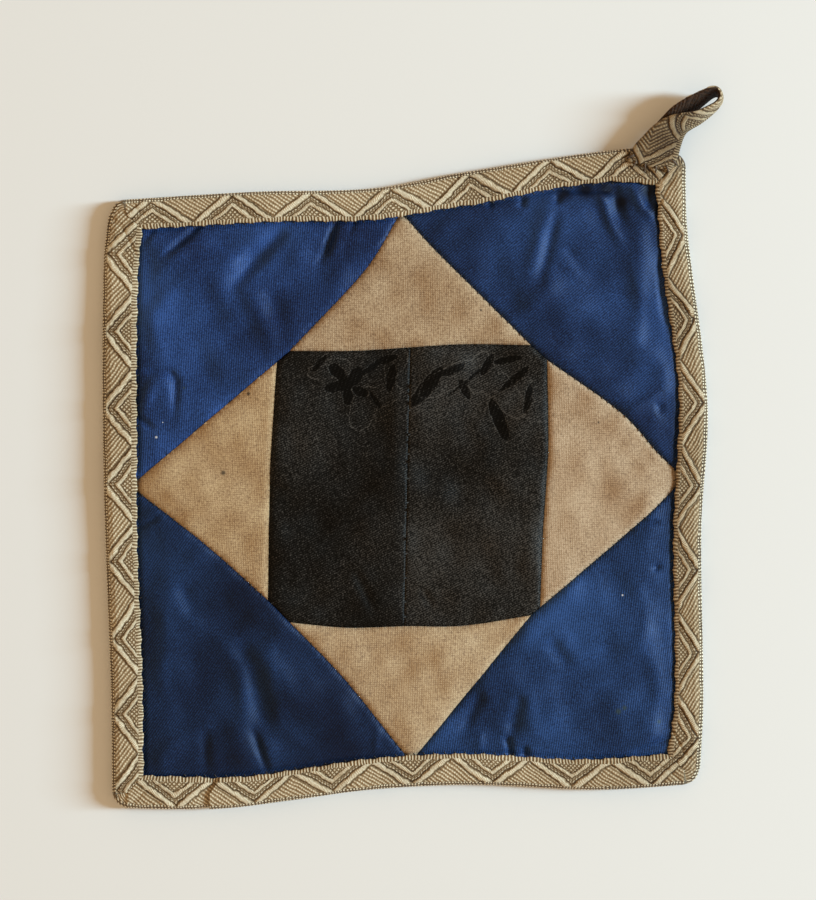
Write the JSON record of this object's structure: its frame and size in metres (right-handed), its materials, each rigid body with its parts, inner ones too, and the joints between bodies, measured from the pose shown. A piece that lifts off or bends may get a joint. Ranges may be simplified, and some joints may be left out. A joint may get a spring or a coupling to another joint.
{
  "type": "pot holder",
  "caption": "Square padded patchwork pot holder with a folded braid edge and a corner loop to hang it by.",
  "frame": {"origin": "middle of the back, on the plane that the pad rests on", "axes": "+Z out of the patchwork face, +Y towards the side that the loop is sewn to, +X towards the loop's end of that side"},
  "size_m": [0.1805, 0.2105, 0.009],
  "materials": {
    "black_silk": "black silk damask, soft sheen",
    "fawn_cloth": "fawn plain weave, matt",
    "blue_silk": "blue silk twill, soft sheen",
    "wadding": "cotton wadding, matt",
    "backing_cotton": "plain cotton, matt",
    "braid": "jacquard braid, slight sheen"
  },
  "bodies": {
    "pad": {"centre_patch_left": "black_silk", "centre_patch_right": "black_silk", "diamond_patch_top": "fawn_cloth", "diamond_patch_right": "fawn_cloth", "diamond_patch_bottom": "fawn_cloth", "diamond_patch_left": "fawn_cloth", "corner_patch_top_left": "blue_silk", "corner_patch_top_right": "blue_silk", "corner_patch_bottom_right": "blue_silk", "corner_patch_bottom_left": "blue_silk", "wadding_upper": "wadding", "wadding_lower": "wadding", "backing_cloth": "backing_cotton", "edge_binding": "braid"},
    "loop": {"hanging_loop": "braid"}
  },
  "joints": [
    {"name": "loop_flex", "type": "hinge", "parent": "pad", "child": "loop", "pos_m": [0.0745, 0.1002, 0.0049], "axis": [1, 0, 0], "range_deg": [-7, 110]}
  ]
}
